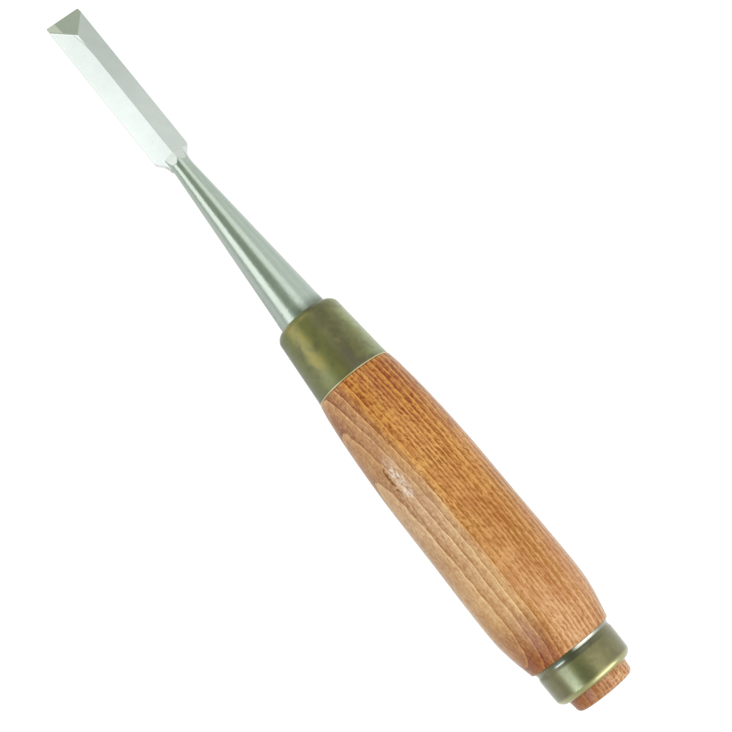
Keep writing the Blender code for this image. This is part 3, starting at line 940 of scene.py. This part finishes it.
def make_light():
    soft_light("left_softbox", around_axis(69.2, 0.75, 0.4725), (0.4725, 0, 0), 1.155, 0.493, 0.5)
    soft_light("left_softbox_core", around_axis(69.5, 0.74, 0.4725), (0.4725, 0, 0), 1.155, 0.369, 0.26)
    soft_light("left_softbox_heart", around_axis(69.5, 0.73, 0.1825), (0.1825, 0, 0), 0.575, 0.369, 0.14)
    soft_light("left_front_card", around_axis(53.4, 0.75, 0.49), (0.49, 0, 0), 0.24, 0.12, 0.26, (0.97, 0.99, 1.09))
    soft_light("left_front_core", around_axis(53.4, 0.745, 0.41), (0.41, 0, 0), 0.10, 0.12, 0.13, (0.95, 0.97, 1.12))
    soft_light("left_rear_card", around_axis(58.5, 0.72, -0.28), (-0.28, 0, 0), 0.34, 0.36, 1.95, (0.76, 1.0, 1.34))
    soft_light("left_grip_card", around_axis(41, 0.75, 0.02), (0.02, 0, 0), 0.14, 0.14, 1.3)
    soft_light("top_front_panel", around_axis(-17.2, 0.85, 0.6125), (0.6125, 0, 0), 0.775, 0.49, 0.42)
    soft_light("top_rear_panel", around_axis(-19.5, 0.85, -0.4475), (-0.4475, 0, 0), 0.665, 0.465, 0.42)
    soft_light("right_front_card", around_axis(-72, 0.80, 0.395), (0.395, 0, 0), 0.15, 0.17, 0.13)
    soft_light("back_card", (-0.78, -0.29, 0.37), (0, 0, 0), 0.80, 0.56, 1.5, along=(0, 1, 0))
    soft_light("front_card", (0.86, 0.16, 0.50), (0, 0, 0), 0.34, 0.34, 1.2)
    soft_light("overhead_fill", (0, 0.1, 1.6), (0, 0, 0), 2.4, 2.4, 0.95, glossy=False)
    world = bpy.data.worlds.new("studio")
    bpy.context.scene.world = world
    world.use_nodes = True
    t = world.node_tree

    def add(kind, **props):
        n = t.nodes.new(kind)
        for k, v in props.items():
            setattr(n, k, v)
        return n

    # the tent round the tool, by angle from straight up (positive towards the tool's left)
    co = add("ShaderNodeTexCoord")
    sep = add("ShaderNodeSeparateXYZ")
    t.links.new(co.outputs["Generated"], sep.inputs[0])
    angle = add("ShaderNodeMath", operation="ARCTAN2")
    t.links.new(sep.outputs[1], angle.inputs[0])
    t.links.new(sep.outputs[2], angle.inputs[1])
    turn = add("ShaderNodeMapRange")
    t.links.new(angle.outputs[0], turn.inputs[0])
    turn.inputs[1].default_value, turn.inputs[2].default_value = -math.pi, math.pi
    ramp = add("ShaderNodeValToRGB")
    t.links.new(turn.outputs[0], ramp.inputs[0])
    stops = (
        (-180, (0.92, 0.94, 0.93)),
        (-140, (0.92, 0.94, 0.93)),
        (-95, (0.82, 0.85, 0.82)),
        (-75, (0.82, 0.86, 0.83)),
        (-50, (0.87, 0.90, 0.88)),
        (-8, (0.70, 0.74, 0.70)),
        (5, (0.44, 0.50, 0.42)),
        (16, (0.285, 0.335, 0.262)),
        (40, (0.285, 0.335, 0.262)),
        (52, (0.54, 0.58, 0.54)),
        (84, (0.56, 0.58, 0.56)),
        (96, (0.58, 0.60, 0.58)),
        (112, (0.80, 0.82, 0.80)),
        (160, (0.80, 0.82, 0.80)),
        (180, (0.92, 0.94, 0.93)),
    )
    r = ramp.color_ramp
    while len(r.elements) < len(stops):
        r.elements.new(0.5)
    for e, (deg, col) in zip(r.elements, stops):
        e.position = (deg + 180) / 360
        e.color = (*col, 1.0)
    # it is darker beside the handle
    side = add("ShaderNodeValToRGB")
    t.links.new(turn.outputs[0], side.inputs[0])
    stops = ((-92, 0.0), (-72, 1.0), (-12, 1.0), (4, 0.0), (88, 0.0), (100, 0.5), (165, 0.5), (178, 0.0))
    r = side.color_ramp
    while len(r.elements) < len(stops):
        r.elements.new(0.5)
    for e, (deg, amount) in zip(r.elements, stops):
        e.position = (deg + 180) / 360
        e.color = (amount, amount, amount, 1.0)
    reach = add("ShaderNodeMapRange", interpolation_type="SMOOTHSTEP")
    t.links.new(sep.outputs[0], reach.inputs[0])
    reach.inputs[1].default_value, reach.inputs[2].default_value = 0.275, 0.205
    butt = add("ShaderNodeMapRange", interpolation_type="SMOOTHSTEP")
    t.links.new(sep.outputs[0], butt.inputs[0])
    butt.inputs[1].default_value, butt.inputs[2].default_value = -0.06, 0.03
    within_handle = add("ShaderNodeMath", operation="MULTIPLY")
    t.links.new(reach.outputs[0], within_handle.inputs[0])
    t.links.new(butt.outputs[0], within_handle.inputs[1])
    amount = add("ShaderNodeMath", operation="MULTIPLY")
    t.links.new(side.outputs[0], amount.inputs[0])
    t.links.new(within_handle.outputs[0], amount.inputs[1])
    darker = add("ShaderNodeMix", data_type="RGBA", blend_type="MULTIPLY")
    t.links.new(amount.outputs[0], darker.inputs[0])
    t.links.new(ramp.outputs[0], darker.inputs[6])
    darker.inputs[7].default_value = (0.48, 0.48, 0.48, 1)
    # its ends are dimmer
    ends = add("ShaderNodeMath", operation="ABSOLUTE")
    t.links.new(sep.outputs[0], ends.inputs[0])
    near = add("ShaderNodeMapRange", interpolation_type="SMOOTHSTEP")
    t.links.new(ends.outputs[0], near.inputs[0])
    near.inputs[1].default_value, near.inputs[2].default_value = 0.20, 0.95
    lifted = add("ShaderNodeValToRGB")
    t.links.new(sep.outputs[0], lifted.inputs[0])
    stops = ((0.58, 1.0), (0.66, 0.15), (0.84, 0.15), (0.93, 1.0))
    r = lifted.color_ramp
    while len(r.elements) < len(stops):
        r.elements.new(0.5)
    for e, (at, amount) in zip(r.elements, stops):
        e.position = at
        e.color = (amount, amount, amount, 1.0)
    dim = add("ShaderNodeMath", operation="MULTIPLY")
    t.links.new(near.outputs[0], dim.inputs[0])
    t.links.new(lifted.outputs[0], dim.inputs[1])
    both = add("ShaderNodeMix", data_type="RGBA")
    t.links.new(dim.outputs[0], both.inputs[0])
    t.links.new(darker.outputs[2], both.inputs[6])
    both.inputs[7].default_value = (0.52, 0.57, 0.46, 1)
    t.links.new(both.outputs[2], t.nodes["Background"].inputs[0])


def make_camera():
    """Looks down on the tool from above its handle, tip to the picture's upper left."""
    focal, frame_px = 1500.0, 732.0
    along, back_off, roll, nose, yaw, spin = 40.23, 435.314, -0.171577, 0.170303, -0.012015, 0.001250
    e = Vector((1, 0, 0))
    n = Vector((0, -math.sin(roll), math.cos(roll)))
    side = n.cross(e)
    place = e * along + n * back_off + side * 0.143
    look = ((e * math.sin(nose) - n * math.cos(nose)) * math.cos(yaw) + side * math.sin(yaw)).normalized()
    s = (-e + look * e.dot(look)).normalized()
    t = look.cross(s)
    # the tool's axis crosses the picture about 51 degrees below its rows
    u = Vector((0.62860317, 0.77772621))
    v = Vector((0.77772621, -0.62860317))
    uu = u * math.cos(spin) + v * math.sin(spin)
    vv = v * math.cos(spin) - u * math.sin(spin)
    right = s * uu.x - t * vv.x
    down = s * uu.y - t * vv.y
    turn = REST.to_3x3()
    cam = bpy.data.cameras.new("camera")
    cam.sensor_fit = "HORIZONTAL"
    cam.sensor_width = 36.0
    cam.lens = 36.0 * focal / frame_px
    cam.clip_start, cam.clip_end = 0.01, 50.0
    obj = bpy.data.objects.new("camera", cam)
    bpy.context.scene.collection.objects.link(obj)
    axes = Matrix((turn @ right, turn @ -down, turn @ -look)).transposed()
    obj.matrix_world = Matrix.Translation(REST @ (place * MM)) @ axes.to_4x4()
    bpy.context.scene.camera = obj


make_floor()
make_light()
make_camera()
bpy.context.scene.view_settings.view_transform = "Standard"
